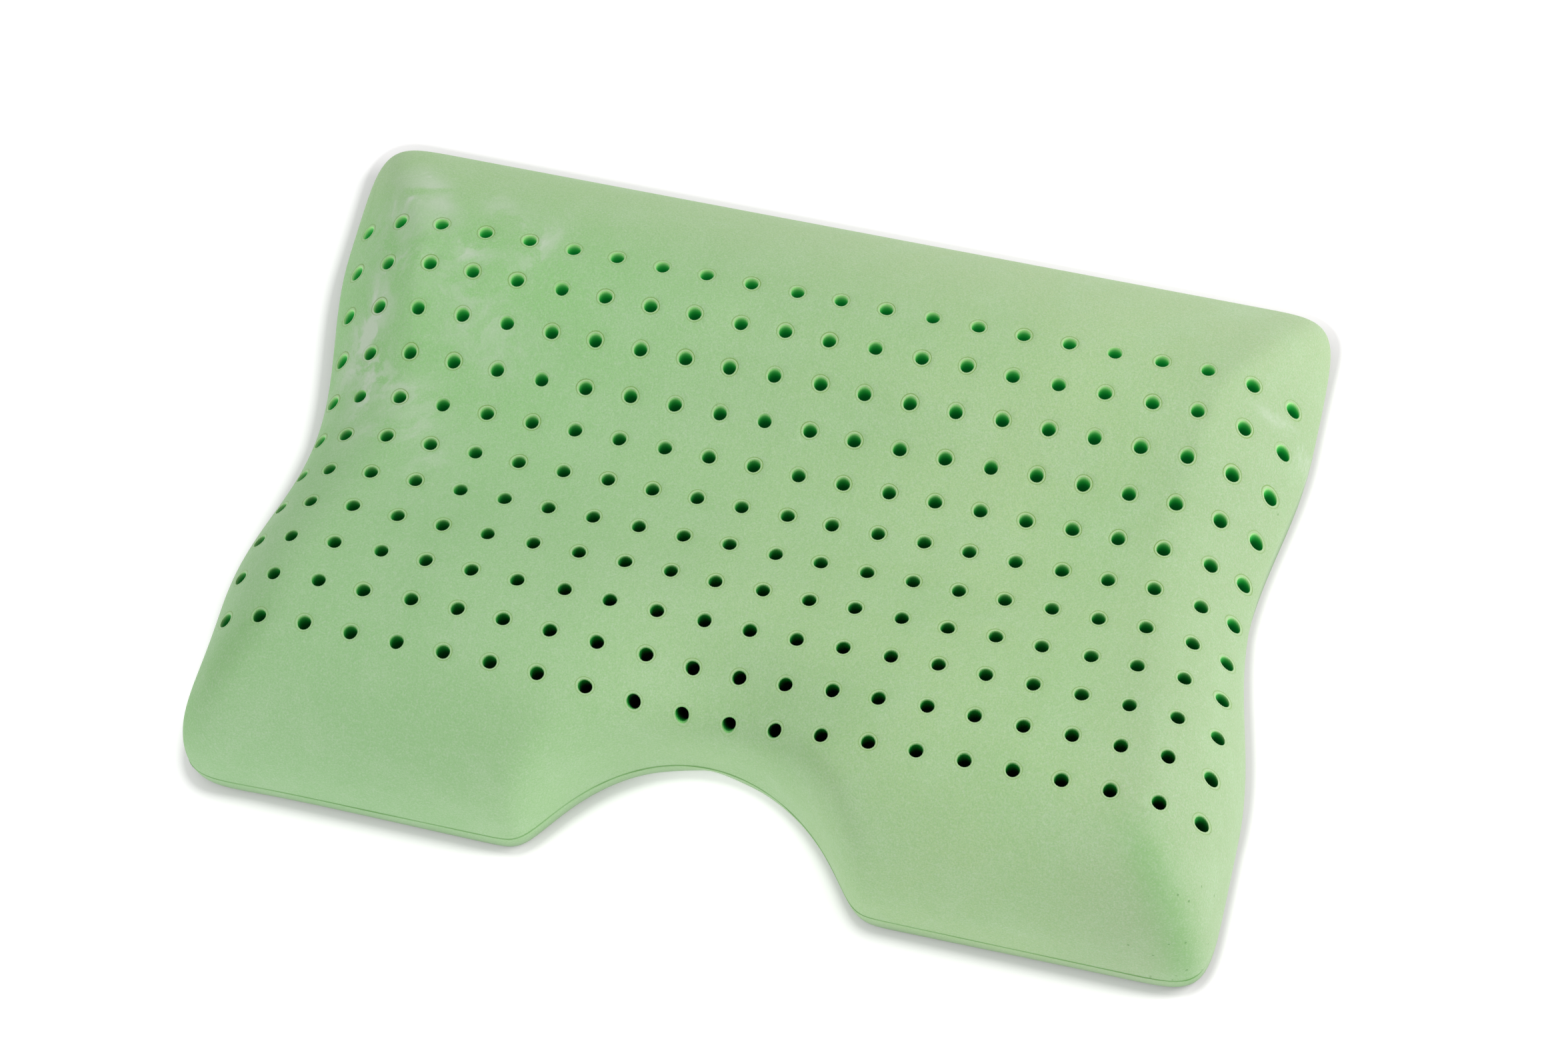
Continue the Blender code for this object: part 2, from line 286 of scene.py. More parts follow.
@dataclass(frozen=True)
class PourStreak:
    """One pale streak left by the pour: its middle, its heading in degrees, its reaches, its weight."""

    x: float
    y: float
    heading: float
    length: float
    width: float
    weight: float

    def strength(self, x: Array, y: Array) -> Array:
        """Give how strongly the streak shows at a place: a bell curve along and across it."""
        turn = math.radians(self.heading)
        along = (x - self.x) * math.cos(turn) + (y - self.y) * math.sin(turn)
        across = (y - self.y) * math.cos(turn) - (x - self.x) * math.sin(turn)
        return self.weight * np.exp(-(along / self.length) ** 2 - (across / self.width) ** 2)


@dataclass
class SkinMesh:
    """Points, faces and marks of a mesh, gathered one set at a time as whole arrays."""

    points: list[Array] = field(default_factory=list)
    quads: list[Array] = field(default_factory=list)
    marks: dict[str, list[Array]] = field(default_factory=dict)
    count: int = 0

    def add_points(self, points: Array, **marks: Array | float) -> Array:
        """Add points with their marks, and give their numbers in the same layout.

        Args:
            points: an array of points, whose last axis is x, y, z.
            marks: the value of each named mark, one for all points or one each.

        Returns:
            The points' numbers.
        """
        shape = points.shape[:-1]
        total = int(np.prod(shape))
        for name in self.marks:
            self.marks[name].append(np.broadcast_to(marks.get(name, 0.0), shape).reshape(total))
        self.points.append(points.reshape(total, 3))
        numbers = np.arange(self.count, self.count + total).reshape(shape)
        self.count += total
        return numbers

    def add_band(self, outer: Array, inner: Array) -> None:
        """Add the faces between closed loops of equal length, anticlockwise as seen from outside."""
        faces = np.stack([outer, np.roll(outer, -1, axis=-1), np.roll(inner, -1, axis=-1), inner], axis=-1)
        self.quads.append(faces.reshape(-1, 4))

    def add_ring(
        self, last: Array, place: Array, height: Array | float, inwards: bool = False,
        **marks: Array | float,
    ) -> Array:
        """Add one closed loop and the faces between it and the last one, and give its numbers.

        Args:
            last: the last loop's numbers.
            place: the loop's x and y, on the last axis.
            height: its height, one for all points or one each.
            inwards: whether the loop lies inside the last one or below it in a bore, not further out.
            marks: the marks of its points.

        Returns:
            The loop's numbers.
        """
        height = np.broadcast_to(height, place.shape[:-1])[..., None]
        numbers = self.add_points(np.concatenate([place, height], axis=-1), **marks)
        self.add_band(*((last, numbers) if inwards else (numbers, last)))
        return numbers

    def make_object(self, name: str, material: bpy.types.Material, sharp_angle: float) -> bpy.types.Object:
        """Give a smooth-shaded mesh object with the marks as its attributes.

        Args:
            name: the object's name.
            material: its one material.
            sharp_angle: the angle in degrees past which an edge is sharp.

        Returns:
            The object, linked to the scene.
        """
        mesh = bpy.data.meshes.new(name)
        mesh.from_pydata(np.concatenate(self.points).tolist(), [], np.concatenate(self.quads).tolist())
        for mark, values in self.marks.items():
            attribute = mesh.attributes.new(mark, "FLOAT", "POINT")
            attribute.data.foreach_set("value", np.concatenate(values).astype(np.float32))
        mesh.materials.append(material)
        mesh.shade_smooth()
        mesh.set_sharp_from_angle(angle=math.radians(sharp_angle))
        made = bpy.data.objects.new(name, mesh)
        bpy.context.scene.collection.objects.link(made)
        return made


@dataclass
class FoamSkin:
    """The pillow's whole skin, built finely on the same formulas as the CAD solid."""

    form: PillowForm = field(default_factory=PillowForm)
    grid: VentGrid = field(default_factory=VentGrid)
    steps: int = 5
    shoulder_rings: int = 22
    foot_rings: int = 8
    seam_reach: float = 2.0 * MM
    lip: tuple[LipRing, ...] = (
        LipRing(5.80 * MM, 0.00 * MM),
        LipRing(5.34 * MM, 0.22 * MM, mark=1.0),
        LipRing(4.90 * MM, 0.00 * MM, pale=0.7),
        LipRing(4.58 * MM, 0.03 * MM, pale=0.8),
        LipRing(4.30 * MM, 0.16 * MM, pale=1.0),
        LipRing(4.07 * MM, 0.52 * MM, pale=1.0, in_bore=True),
        LipRing(3.95 * MM, 1.30 * MM, in_bore=True),
    )
    bore_depths: tuple[float, ...] = (2.5 * MM, 7 * MM, 14 * MM, 26 * MM)
    # Painted glow in the bores, standing in for light through the thin foam: where it starts and is full
    # towards the rear, how it grows, and its shares at the ends, the right end, the edges and the notch.
    glow_from_y: float = -0.090
    glow_full_y: float = 0.134
    glow_power: float = 1.6
    end_glow: float = 0.20
    end_glow_from_x: float = 0.070
    end_glow_full_x: float = 0.210
    right_glow_from_y: float = -0.125
    right_glow_full_y: float = -0.060
    edge_glow: float = 0.55
    edge_glow_reach: float = 19.0 * MM
    notch_glow: float = 0.9
    notch_glow_reach: float = 8.0 * MM
    notch_hole_shift: float = 1.2 * MM
    notch_hole_reach: float = 0.035
    notch_foot_power: float = 1.45
    bend_gain: float = 0.07
    ring_front_share: float = 0.72
    ring_front_y: float = -0.120
    ring_full_y: float = 0.030
    ring_bright_side: float = 60.0
    lean_bend: float = 3.2
    base_lip_radius: float = 4.5 * MM
    base_lip_height: float = 0.7 * MM
    base_lip_bore: float = 0.3
    unevenness: float = 0.45 * MM
    hole_stray: float = 0.30 * MM
    # Painted shade beside the front corners' folds: how far it leads, how wide it is, and where it starts.
    fold_lead: float = 0.16
    fold_width: float = 0.26
    fold_start: float = 0.45
    pit_place: tuple[float, float] = (0.284, -0.193)
    pit_reach: float = 0.022
    bulge_place: tuple[float, float] = (-0.300, -0.192)
    bulge_reach: float = 0.040
    bulge_push: tuple[float, float] = (-4.0 * MM, -2.2 * MM)
    pour_streaks: tuple[PourStreak, ...] = (
        PourStreak(-0.254, 0.150, 100.0, 0.026, 0.018, 1.25),
        PourStreak(-0.236, 0.154, -52.0, 0.026, 0.008, 1.20),
        PourStreak(-0.219, 0.123, -12.0, 0.028, 0.008, 1.10),
        PourStreak(-0.195, 0.150, -42.0, 0.020, 0.009, 1.35),
        PourStreak(-0.168, 0.132, 78.0, 0.022, 0.008, 1.00),
        PourStreak(-0.258, 0.072, 75.0, 0.040, 0.012, 1.10),
        PourStreak(-0.248, 0.035, 98.0, 0.036, 0.012, 0.95),
        PourStreak(-0.205, 0.085, -30.0, 0.055, 0.020, 0.55),
        PourStreak(-0.215, 0.020, 120.0, 0.050, 0.018, 0.60),
        PourStreak(0.276, 0.120, -8.0, 0.012, 0.0030, 1.30),
        PourStreak(0.290, 0.115, -36.0, 0.011, 0.0034, 1.40),
        PourStreak(0.298, 0.103, -75.0, 0.006, 0.0026, 1.20),
    )

    wave_count: int = 14
    wave_lengths: tuple[float, float] = (0.035, 0.120)
    wave_softening: float = 1.5
    blend_shares: tuple[float, float] = (0.30, 0.64)
    first_spoke: float = 225.0
    lip_raggedness: tuple[float, float] = (0.020, 0.016)
    ring_strength: tuple[float, float] = (0.95, 0.30)
    ring_limits: tuple[float, float] = (0.15, 1.15)
    ring_side_spread: float = 0.6
    ring_side_share: float = 0.22
    fin_waves: tuple[int, ...] = (5, 11, 23, 41, 67)
    fin_wave_height: float = 0.22
    fin_limits: tuple[float, float] = (0.35, 1.6)
    fin_fade: tuple[float, float] = (-0.2, -0.8)
    fin_headroom: float = 0.6
    seam_profile: tuple[tuple[float, float, float], ...] = (
        (1.0, 0.0, 0.0),
        (0.45, -0.05 * MM, 0.2),
        (0.16, 0.05 * MM, 0.9),
        (0.0, 0.30 * MM, 0.9),
        (-0.16, -0.08 * MM, 1.0),
        (-0.5, -0.12 * MM, 0.5),
        (-1.0, 0.0, 0.0),
    )
    # How fast painted shade deepens down the foot, and how much faster by the notch.
    foot_tone_pace: tuple[float, float] = (1.6, 0.4)
    most_stray: float = 0.6 * MM
    sharp_angle: float = 50.0

    @property
    def around(self) -> int:
        """Give how many points lie round each hole."""
        return 4 * self.steps

    @property
    def spokes(self) -> Array:
        """Give the directions of the points round a hole, from its cell's front left corner."""
        return np.radians(self.first_spoke) + np.arange(self.around) * 2 * np.pi / self.around

    def waviness(self, x: Array, y: Array) -> Array:
        """Give a gentle unevenness from -1 to 1: a sum of sine waves of 35 to 120 mm each way."""
        rng = np.random.default_rng(SEED)
        total = np.zeros_like(x)
        for _ in range(self.wave_count):
            heading = rng.uniform(0, 2 * np.pi)
            pace = 2 * np.pi / rng.uniform(*self.wave_lengths)
            total += np.sin(pace * (x * np.cos(heading) + y * np.sin(heading)) + rng.uniform(0, 2 * np.pi))
        return total / self.wave_count ** 0.5 / self.wave_softening

    def skin_height(self, x: Array, y: Array) -> Array:
        """Give the height of the top with its unevenness, which fades out towards the seam."""
        inside = 1 - np.clip(self.form.closeness(x, y), 0.0, 1.0) ** 4
        return self.form.top(x, y) + self.unevenness * inside * self.waviness(x, y)

    def pour_zone(self, x: Array, y: Array) -> Array:
        """Give how strongly pale pour streaks show at a place."""
        return sum(streak.strength(x, y) for streak in self.pour_streaks)

    def painted_glow_amount(self, x: Array, y: Array) -> Array:
        """Give how strongly the bores glow with painted light, which stands in for light through thin foam:
        more to the rear and at the ends.
        """
        to_rear = np.clip((y - self.glow_from_y) / (self.glow_full_y - self.glow_from_y), 0.0, 1.0)
        to_end = ease((np.abs(x) - self.end_glow_from_x) / (self.end_glow_full_x - self.end_glow_from_x))
        right_share = ease((y - self.right_glow_from_y) / (self.right_glow_full_y - self.right_glow_from_y))
        to_end = to_end * np.where(x < 0, 1.0, right_share)
        form = self.form
        notch_gap = np.hypot(x, y - form.notch_back_y + form.notch_radius) - form.notch_radius
        at_notch = bell(notch_gap, self.notch_glow_reach)
        at_edge = bell(form.half_length(y) - np.abs(x), self.edge_glow_reach)
        total = to_rear ** self.glow_power + self.end_glow * to_end
        return total + self.notch_glow * at_notch + self.edge_glow * at_edge

    def painted_fold_shade(self, x: Array, y: Array) -> Array:
        """Give how much painted shade darkens the skin beside the fold of each front corner, from 0 to 1.
        """
        form = self.form
        over_end = 1 - (form.half_length(y) - np.abs(x)) / form.end_rounding
        over_front = 1 - (y - form.front_y) / form.front_rounding
        lead = np.where(x > 0, over_front - over_end, over_end - over_front)
        near = bell(lead - self.fold_lead, self.fold_width)
        return near * ease(np.maximum(over_end, over_front) / self.fold_start)

    def pit_zone(self, x: Array, y: Array) -> Array:
        """Give 1 at the front right corner, where small pits gather, falling away from it."""
        return bell(np.hypot(x - self.pit_place[0], y - self.pit_place[1]), self.pit_reach)

    def tones(self, place: Array) -> dict[str, Array]:
        """Give the marks of the skin's tones at places whose last axis is x, y: pour streaks, painted shade
        beside the front folds, and the pit zone.
        """
        x, y = place[..., 0], place[..., 1]
        return {"pour_zone": self.pour_zone(x, y), "painted_fold_shade": self.painted_fold_shade(x, y), "pit_zone": self.pit_zone(x, y)}

    def push_bulge(self, skin: SkinMesh) -> None:
        """Push the front left corner out a little, as the foam of this corner swells past the other."""
        for points in skin.points:
            away = np.hypot(points[:, 0] - self.bulge_place[0], points[:, 1] - self.bulge_place[1])
            points[:, :2] += bell(away, self.bulge_reach)[:, None] * np.array(self.bulge_push)

    def cell_borders(self, corners: Array) -> Array:
        """Give every cell border's points, shared by neighbours: corners, then both kinds of side.

        Args:
            corners: the cell corners' x and y, as columns by rows by 2.

        Returns:
            One long list of points, in the order that border_numbers expects.
        """
        share = (np.arange(1, self.steps) / self.steps)[:, None]
        along = corners[:-1, :, None] * (1 - share) + corners[1:, :, None] * share
        across = corners[:, :-1, None] * (1 - share) + corners[:, 1:, None] * share
        return np.concatenate([corners.reshape(-1, 2), along.reshape(-1, 2), across.reshape(-1, 2)])

    def border_numbers(self) -> tuple[Array, Array]:
        """Give each cell's border and the whole grid's rim, as places in the list of border points.

        Returns:
            The cell borders, as columns by rows by points round, and the rim, both anticlockwise
            from the front left corner.
        """
        columns, rows, between = self.grid.columns, self.grid.rows, self.steps - 1
        corner = np.arange((columns + 1) * (rows + 1)).reshape(columns + 1, rows + 1)
        along = corner.size + np.arange(columns * (rows + 1) * between).reshape(columns, rows + 1, between)
        across = corner.size + along.size + np.arange((columns + 1) * rows * between)
        across = across.reshape(columns + 1, rows, between)
        cells = np.concatenate([
            corner[:-1, :-1, None], along[:, :-1],
            corner[1:, :-1, None], across[1:],
            corner[1:, 1:, None], along[:, 1:, ::-1],
            corner[:-1, 1:, None], across[:-1, :, ::-1]], axis=2)
        rim = np.concatenate([
            cells[:, 0, :self.steps].ravel(),
            cells[-1, :, self.steps:2 * self.steps].ravel(),
            cells[::-1, -1, 2 * self.steps:3 * self.steps].ravel(),
            cells[0, ::-1, 3 * self.steps:].ravel()])
        return cells, rim

    def outline_for(self, rim: Array) -> Array:
        """Give the outline point that each rim point runs out to.

        The rim's corners meet the outline's corners, the rim beside the notch meets the corners of
        its mouth, and between these the points are spread along the outline, closer where it bends.
        """
        form, grid = self.form, self.grid
        outline, angle = form.outline()
        strides = np.diff(outline, axis=0)
        heading = np.unwrap(np.arctan2(strides[:, 1], strides[:, 0]))
        bend = np.abs(np.diff(heading, append=heading[-1:]))
        length = np.concatenate([[0.0], np.cumsum(np.linalg.norm(strides, axis=1) + self.bend_gain * bend)])
        half_front, half_rear = form.front_length / 2, form.rear_length / 2
        ear_cells = (grid.columns - grid.notch_cells) // 2
        stretches = (
            (ear_cells, (-half_front, form.front_y)),
            (grid.notch_cells, (-form.notch_half_mouth, form.front_y)),
            (ear_cells, (form.notch_half_mouth, form.front_y)),
            (grid.rows, (half_front, form.front_y)),
            (grid.columns, (half_rear, form.rear_y)),
            (grid.rows, (-half_rear, form.rear_y)),
        )
        starts = np.array([np.interp(np.arctan2(y, x), angle, length) for _, (x, y) in stretches])
        ends = np.roll(starts, -1)
        ends = np.where(ends < starts, ends + length[-1], ends)
        counts = [cells * self.steps for cells, _ in stretches]
        place = np.concatenate([
            start + (end - start) * np.arange(count) / count
            for count, start, end in zip(counts, starts, ends)]) % length[-1]
        if len(place) != len(rim):
            raise ValueError("the outline and the rim need as many points as each other")
        return np.stack([np.interp(place, length, outline[:, axis]) for axis in (0, 1)], axis=1)

    def add_top(self, skin: SkinMesh, stray: Array, rng: np.random.Generator) -> tuple[Array, Array, Array]:
        """Add the pierced top: each cell runs from its border in to the lip of its hole.

        Args:
            skin: the mesh to add to.
            stray: how far each hole strays from its place in the grid.
            rng: the source of each hole's small differences.

        Returns:
            The numbers of the rim, those of the rings at the top of the bores, and the rim's points.
        """
        form = self.form
        corners = np.stack(self.grid.corners(form), axis=-1)
        flat = self.cell_borders(corners)
        cells, rim = self.border_numbers()
        height = self.skin_height(flat[:, 0], flat[:, 1])
        numbers = skin.add_points(np.column_stack([flat, height]), **self.tones(flat))
        outer = numbers[cells]
        centre = np.stack(self.grid.centres(form), axis=-1) + stray
        turn = self.spokes
        shape = centre.shape[:2]
        phase = rng.uniform(0, 2 * np.pi, (2, *shape, 1))
        oval, three_sided = self.lip_raggedness
        ragged = 1 + oval * np.sin(2 * turn + phase[0]) + three_sided * np.sin(3 * turn + phase[1])
        mark_strength = np.clip(rng.normal(*self.ring_strength, shape), *self.ring_limits)[..., None]
        to_full = ease((centre[..., 1:] - self.ring_front_y) / (self.ring_full_y - self.ring_front_y))
        mark_strength = mark_strength * (self.ring_front_share + (1 - self.ring_front_share) * to_full)
        side = turn - np.radians(self.ring_bright_side)
        side = side + rng.normal(0.0, self.ring_side_spread, shape)[..., None]
        mark_strength = mark_strength * (1 - self.ring_side_share + self.ring_side_share * np.cos(side))
        rings = []
        for ring in self.lip:
            radius = ring.radius * ragged
            place = centre[:, :, None] + radius[..., None] * np.stack([np.cos(turn), np.sin(turn)], axis=-1)
            drop = ring.drop * (mark_strength if ring.mark else 1.0)
            height = self.skin_height(place[..., 0], place[..., 1]) - drop
            # the lip's pale rings carry a painted highlight, strongest on the ring's bright side
            marks = {"ring_mark": ring.mark * mark_strength, "painted_lip_highlight": ring.pale * mark_strength,
                     "bore": ring.in_bore * ring.drop / self.bore_depths[-1]}
            rings.append((place, height, marks))
        border = flat[cells]
        first = rings[0][0]
        blends = []
        for share in self.blend_shares:
            place = border * (1 - share) + first * share
            blends.append((place, self.skin_height(place[..., 0], place[..., 1]), {}))
        for place, height, marks in blends + rings:
            outer = skin.add_ring(
                outer, place, height, inwards=True,
                thin_foam=self.painted_glow_amount(place[..., 0], place[..., 1]), **marks, **self.tones(place))
        rim_points = np.column_stack([flat[rim], self.skin_height(flat[rim, 0], flat[rim, 1])])
        return numbers[rim], outer, rim_points

    def add_shoulders(
        self, skin: SkinMesh, rim_numbers: Array, rim: Array, outline: Array,
    ) -> tuple[Array, Array]:
        """Add the rounded shoulders from the rim of the top down to just above the seam.

        Each ring stands at an even share of the quarter turn that the top makes over the edge.

        Returns:
            The numbers and the heights of the lowest ring's points.
        """
        form = self.form
        start_turn = np.arcsin(form.closeness(rim[:, 0], rim[:, 1]))
        upper = rim_numbers
        for step in range(1, self.shoulder_rings):
            turn = start_turn + (np.pi / 2 - start_turn) * step / self.shoulder_rings

            def not_there(share: Array) -> Array:
                """Tell where a point is still nearer the rim than this ring."""
                place = rim[:, :2] + (outline - rim[:, :2]) * share[:, None]
                return form.closeness(place[:, 0], place[:, 1]) < np.sin(turn)

            share = halve(not_there, np.zeros(len(rim)), np.ones(len(rim)))
            place = rim[:, :2] + (outline - rim[:, :2]) * share[:, None]
            height = self.skin_height(place[:, 0], place[:, 1])
            upper = skin.add_ring(upper, place, height, **self.tones(place))
        return upper, height

    def add_seam(
        self, skin: SkinMesh, upper: Array, upper_height: Array, outline: Array, rng: np.random.Generator,
    ) -> Array:
        """Add the mould seam: a ragged flash fin between two fine grooves, strongest along the front.

        Args:
            skin: the mesh to add to.
            upper: the numbers of the ring above.
            upper_height: that ring's heights, which the seam's first ring stays under.
            outline: the outline's points.
            rng: the source of the fin's raggedness.

        Returns:
            The numbers of the lowest ring, one seam reach below the seam.
        """
        outward = outward_of(outline)
        count = len(outline)
        place_round = np.arange(count) * 2 * np.pi / count
        ragged = np.ones(count)
        for times in self.fin_waves:
            ragged += self.fin_wave_height * np.sin(times * place_round + rng.uniform(0, 2 * np.pi))
        ragged = np.clip(ragged, *self.fin_limits)
        seam = self.form.seam_height(outline[:, 0], outline[:, 1])
        fade_from, fade_full = self.fin_fade
        to_front = ease((outward[:, 1] - fade_from) / (fade_full - fade_from))
        reach_up = np.minimum(self.seam_reach, self.fin_headroom * (upper_height - seam))
        for rise, proud, mark in self.seam_profile:
            place = outline + outward * (proud * ragged * to_front)[:, None]
            height = seam + rise * (reach_up if rise > 0 else self.seam_reach)
            upper = skin.add_ring(upper, place, height, seam_mark=mark * to_front, **self.tones(place))
        return upper

    def add_foot(self, skin: SkinMesh, upper: Array, rim: Array, outline: Array) -> Array:
        """Add the foot, a quarter of an ellipse from the seam in and down to the base.

        Returns:
            The numbers of the lowest ring, on the base.
        """
        form = self.form
        inwards = rim[:, :2] - outline
        inwards /= np.linalg.norm(inwards, axis=1)[:, None]
        seam = form.seam_height(outline[:, 0], outline[:, 1])
        near_notch = form.notch_nearness(outline[:, 0], outline[:, 1], form.notch_reach)
        inset = form.base_inset + form.notch_undercut * near_notch
        power = 2 - (2 - self.notch_foot_power) * near_notch
        start = np.arcsin((self.seam_reach / seam) ** (power / 2))
        tone_pace, notch_pace = self.foot_tone_pace
        for step in range(1, self.foot_rings + 1):
            turn = start + (np.pi / 2 - start) * step / self.foot_rings
            place = outline + inwards * (inset * (1 - np.cos(turn) ** (2 / power)))[:, None]
            # tone: painted shade, deeper down the foot and by the notch
            tone = np.minimum(1.0, (tone_pace + notch_pace * near_notch) * step / self.foot_rings)
            height = seam * (1 - np.sin(turn) ** (2 / power))
            upper = skin.add_ring(upper, place, height, foot=tone, **self.tones(place))
        return upper

    def add_base(self, skin: SkinMesh, foot: Array, bore_tops: Array, stray: Array) -> None:
        """Add the flat base and the bores that run up from it to the rings below the lips."""
        form, grid = self.form, self.grid
        corner_x, corner_y = grid.corners(form)
        corner_y = corner_y.copy()
        lean_front = form.notch_nearness(corner_x[:, 0], np.full(grid.columns + 1, form.notch_back_y),
                                         form.notch_reach)
        corner_y[:, 0] += grid.notch_rim_lean * lean_front
        flat = self.cell_borders(np.stack([corner_x, corner_y], axis=-1))
        cells, rim = self.border_numbers()
        numbers = skin.add_points(np.column_stack([flat, np.zeros(len(flat))]), foot=1.0)
        skin.add_band(numbers[rim], foot)
        hole_x, hole_y = grid.centres(form)
        front_row_y = hole_y[0, 0]
        lean = grid.notch_lean * form.notch_nearness(
            hole_x, hole_y - front_row_y + form.notch_back_y, grid.notch_lean_reach)
        top = np.stack([hole_x, hole_y], axis=-1) + stray
        bottom = top + np.stack([np.zeros_like(lean), lean], axis=-1)
        spoke = np.stack([np.cos(self.spokes), np.sin(self.spokes)], axis=-1)
        radius = self.lip[-1].radius
        total = form.top(hole_x, hole_y)
        upper = bore_tops
        for depth in self.bore_depths:
            share = 1 - (1 - depth / total) ** self.lean_bend
            centre = top + (bottom - top) * share[..., None]
            place = centre[:, :, None] + radius * spoke
            x, y = place[..., 0], place[..., 1]
            upper = skin.add_ring(
                upper, place, self.skin_height(x, y) - depth, inwards=True,
                thin_foam=self.painted_glow_amount(x, y), bore=depth / self.bore_depths[-1])
        ends = ((radius, self.base_lip_height, 1.0), (self.base_lip_radius, 0.0, self.base_lip_bore))
        for ring_radius, height, bore in ends:
            place = bottom[:, :, None] + ring_radius * spoke
            upper = skin.add_ring(upper, place, height, inwards=True, bore=bore, foot=1.0)
        skin.add_band(upper, numbers[cells])

    def build(self, material: bpy.types.Material) -> bpy.types.Object:
        """Build the whole skin as one closed mesh.

        Args:
            material: the foam's material.

        Returns:
            The skin's object.
        """
        rng = np.random.default_rng(SEED)
        skin = SkinMesh(marks={name: [] for name in SKIN_MARKS})
        stray = rng.normal(0.0, self.hole_stray, (self.grid.columns, self.grid.rows, 2))
        stray = np.clip(stray, -self.most_stray, self.most_stray)
        stray[:, 0] = 0.0
        stray[[0, -1]] = 0.0
        front_x = self.grid.centres(self.form)[0][:, 0]
        stray[:, 0, 1] = self.notch_hole_shift * bell(front_x, self.notch_hole_reach)
        rim_numbers, bore_tops, rim = self.add_top(skin, stray, rng)
        outline = self.outline_for(rim)
        upper, upper_height = self.add_shoulders(skin, rim_numbers, rim, outline)
        upper = self.add_seam(skin, upper, upper_height, outline, rng)
        foot = self.add_foot(skin, upper, rim, outline)
        self.add_base(skin, foot, bore_tops, stray)
        self.push_bulge(skin)
        return skin.make_object("latex_foam_skin", material, self.sharp_angle)


class Socket(Enum):
    """Kinds of socket that the node groups here have."""

    VALUE = "NodeSocketFloat"
    VECTOR = "NodeSocketVector"


@dataclass
class Wiring:
    """Places shader nodes in one node tree and joins them."""

    tree: bpy.types.NodeTree

    def put(self, kind: str, inputs: dict[Any, Any] | None = None, **settings: Any) -> bpy.types.Node:
        """Place one node.

        Args:
            kind: the node's Blender type, without its ShaderNode prefix.
            inputs: a value or an output socket for each input, by name or number.
            settings: the node's own settings.

        Returns:
            The node.
        """
        node = self.tree.nodes.new("ShaderNode" + kind)
        for name, value in settings.items():
            setattr(node, name, value)
        for name, value in (inputs or {}).items():
            if isinstance(value, Out):
                self.tree.links.new(value, node.inputs[name])
            else:
                node.inputs[name].default_value = value
        return node

    def maths(self, operation: str, first: Any, second: Any = 0.0, clamp: bool = False) -> Out:
        """Give the result of one sum on two values."""
        return self.put("Math", {0: first, 1: second}, operation=operation, use_clamp=clamp).outputs[0]

    def span(self, value: Any, low: Any, high: Any, smooth: bool = True) -> Out:
        """Give 0 where the value is at low and 1 where it is at high, eased between."""
        kind = "SMOOTHSTEP" if smooth else "LINEAR"
        given = {"Value": value, "From Min": low, "From Max": high}
        return self.put("MapRange", given, interpolation_type=kind).outputs["Result"]

    def blend(self, share: Any, first: Any, second: Any) -> Out:
        """Give a mix of two colours."""
        given = {0: share, 6: first, 7: second}
        return self.put("Mix", given, data_type="RGBA", clamp_factor=True).outputs[2]

    def times(self, first: Any, second: Any) -> Out:
        """Give the product of two values."""
        return self.maths("MULTIPLY", first, second)

    def group(self, tree: bpy.types.NodeTree, inputs: dict[str, Any]) -> Out:
        """Place a shared group and give its first output."""
        return self.put("Group", inputs, node_tree=tree).outputs[0]

    def pushed_noise(
        self, vector: Any, push_scale: float, push_detail: float, push: Any, noise: dict[str, Any],
    ) -> tuple[Out, Out]:
        """Read a noise at places that a coarser noise pushes about.

        Args:
            vector: the places.
            push_scale: the coarser noise's scale.
            push_detail: the coarser noise's detail.
            push: how far it pushes.
            noise: the finer noise's inputs.

        Returns:
            The finer noise's value and the pushed places.
        """
        coarse = self.put("TexNoise", {"Vector": vector, "Scale": push_scale, "Detail": push_detail})
        middle = (0.5, 0.5, 0.5)
        centred = self.put("VectorMath", {0: coarse.outputs["Color"], 1: middle}, operation="SUBTRACT")
        scaled = self.put("VectorMath", {0: centred.outputs[0], "Scale": push}, operation="SCALE")
        place = self.put("VectorMath", {0: vector, 1: scaled.outputs[0]}, operation="ADD").outputs[0]
        return self.put("TexNoise", {"Vector": place, **noise}).outputs["Fac"], place

    def ramp(self, value: Any, stops: tuple[tuple[float, Colour], ...]) -> Out:
        """Give the colour that a value from 0 to 1 has on a scale of colours."""
        node = self.put("ValToRGB", {"Fac": value})
        scale = node.color_ramp.elements
        scale[0].position, scale[0].color = stops[0]
        scale[1].position, scale[1].color = stops[-1]
        for position, colour in stops[1:-1]:
            scale.new(position).color = colour
        return node.outputs["Color"]

    def mark(self, name: str) -> Out:
        """Give the value of one of the mesh's marks."""
        return self.put("Attribute", attribute_name=name, attribute_type="GEOMETRY").outputs["Fac"]


def new_group(name: str, **values: float) -> tuple[Wiring, Any, Out]:
    """Start a shader node group that turns a place and plain values into one mask or height.

    Args:
        name: the group's name.
        values: its plain inputs with their first values.

    Returns:
        The group's wiring, its inputs as seen from inside, and the socket that takes its result.
    """
    tree = bpy.data.node_groups.new(name, "ShaderNodeTree")
    tree.interface.new_socket("Vector", in_out="INPUT", socket_type=Socket.VECTOR.value)
    for label, value in values.items():
        socket = tree.interface.new_socket(label, in_out="INPUT", socket_type=Socket.VALUE.value)
        socket.default_value = value
    tree.interface.new_socket("Fac", in_out="OUTPUT", socket_type=Socket.VALUE.value)
    given = tree.nodes.new("NodeGroupInput").outputs
    return Wiring(tree), given, tree.nodes.new("NodeGroupOutput").inputs["Fac"]


